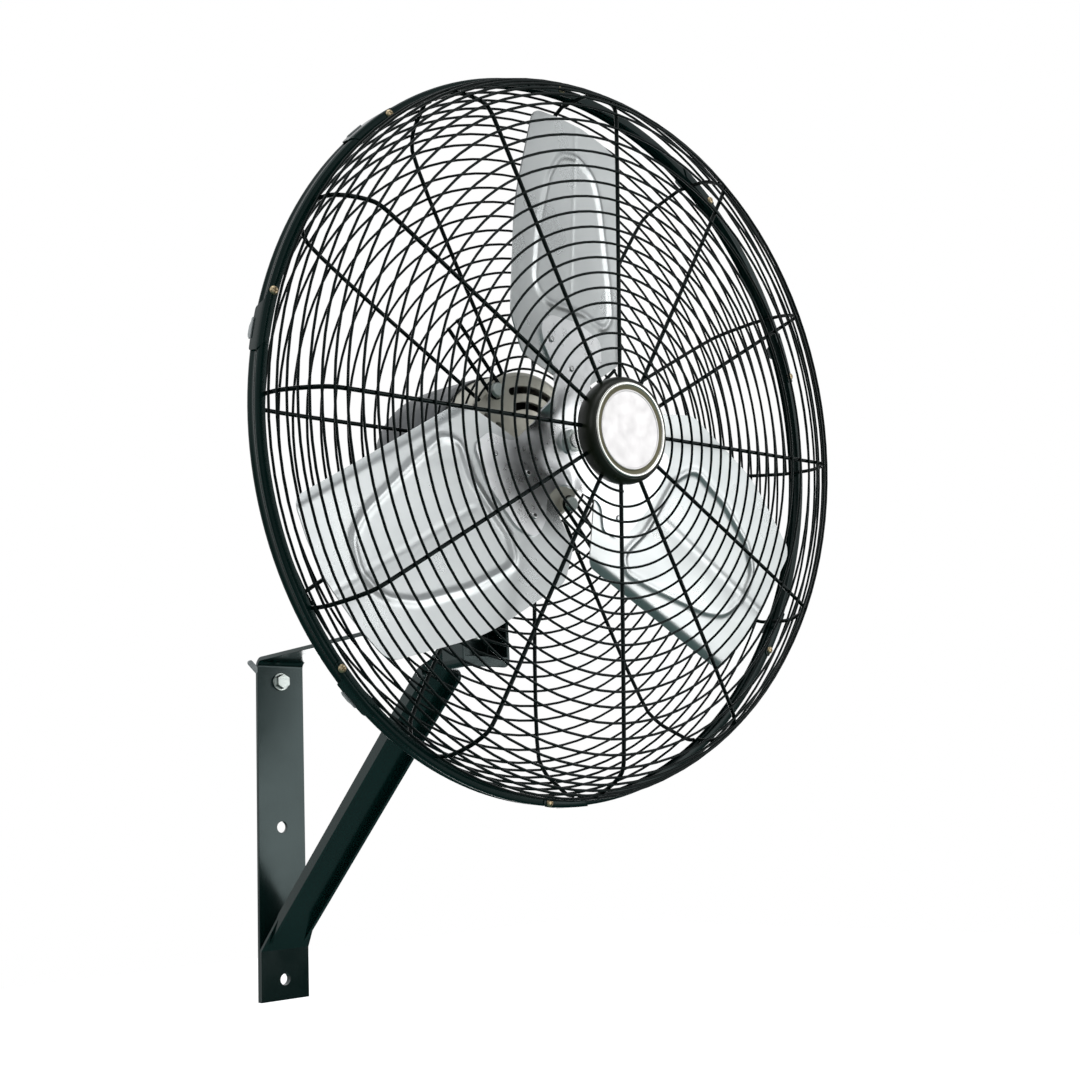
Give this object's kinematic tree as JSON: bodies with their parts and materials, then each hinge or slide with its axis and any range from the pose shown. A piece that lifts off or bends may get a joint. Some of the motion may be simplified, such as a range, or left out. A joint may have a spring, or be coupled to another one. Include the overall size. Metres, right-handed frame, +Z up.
{
  "type": "wall mounted fan",
  "caption": "Wall mounted fan: a round wire guard with aluminium blades and a motor, which pans and tilts on a braced steel wall bracket.",
  "frame": {"origin": "midway between the two free wall bolt holes, on the back face of the wall plate", "axes": "+Z up, +Y out of the back of the plate into the wall, +X to the right seen from the room; the fan blows toward -Y"},
  "size_m": [0.5739, 0.5385, 0.7327],
  "materials": {
    "black_steel": "glossy black powder coat",
    "dark_paint": "dark grey enamel",
    "beige_paint": "beige grey enamel",
    "zinc": "bright zinc plate",
    "brass_screws": "yellow passivated",
    "bearing_steel": "ground",
    "core_steel": "varnished laminations",
    "blade_aluminium": "bright rolled",
    "bright_aluminium": "polished",
    "satin_aluminium": "satin",
    "black_plastic": "glossy"
  },
  "bodies": {
    "bracket": {"wall_bracket": "black_steel", "diagonal_brace": "black_steel", "arm_end_bracket": "black_steel", "wall_bolt": "zinc", "side_hook": "dark_paint", "pivot_bolt": "zinc", "pivot_washer": "zinc", "pivot_nut": "zinc"},
    "swivel": {"swivel_clevis": "black_steel", "swivel_washer": "zinc", "tilt_bolt": "zinc", "tilt_nut": "zinc"},
    "head": {"motor_foot": "dark_paint", "motor_front_cover": "beige_paint", "motor_rear_cover": "dark_paint", "stator_core": "core_steel", "front_bearing": "bearing_steel", "rear_bearing": "bearing_steel", "guard_screws": "zinc", "rear_mount_loops": "black_steel", "rear_face_wire": "black_steel", "rear_wall_wire": "black_steel", "rear_spokes": "black_steel", "rear_inner_ring": "black_steel", "front_face_wire": "black_steel", "front_wall_wire": "black_steel", "front_spokes": "black_steel", "rim_band": "black_steel", "rim_clips": "black_steel", "clip_screws": "brass_screws", "centre_puck": "black_plastic", "badge_ring": "bright_aluminium", "badge_disc": "satin_aluminium"},
    "fan": {"motor_shaft": "bearing_steel", "rotor_core": "core_steel", "blade_hub": "blade_aluminium", "blade_spider": "blade_aluminium", "blade_1": "blade_aluminium", "blade_2": "blade_aluminium", "blade_3": "blade_aluminium", "blade_rivets": "blade_aluminium", "hub_nut": "zinc", "hub_washer": "zinc"}
  },
  "joints": [
    {"name": "pan", "type": "hinge", "parent": "bracket", "child": "swivel", "pos_m": [0, -0.322, 0.24], "axis": [0, 0, 1], "range_deg": [-60, 60]},
    {"name": "tilt", "type": "hinge", "parent": "swivel", "child": "head", "pos_m": [0, -0.322, 0.269], "axis": [1, 0, 0], "range_deg": [-30, 25]},
    {"name": "spin", "type": "hinge", "parent": "head", "child": "fan", "pos_m": [0, -0.46, 0.3556], "axis": [0, 0.9936, 0.1132], "continuous": true}
  ]
}
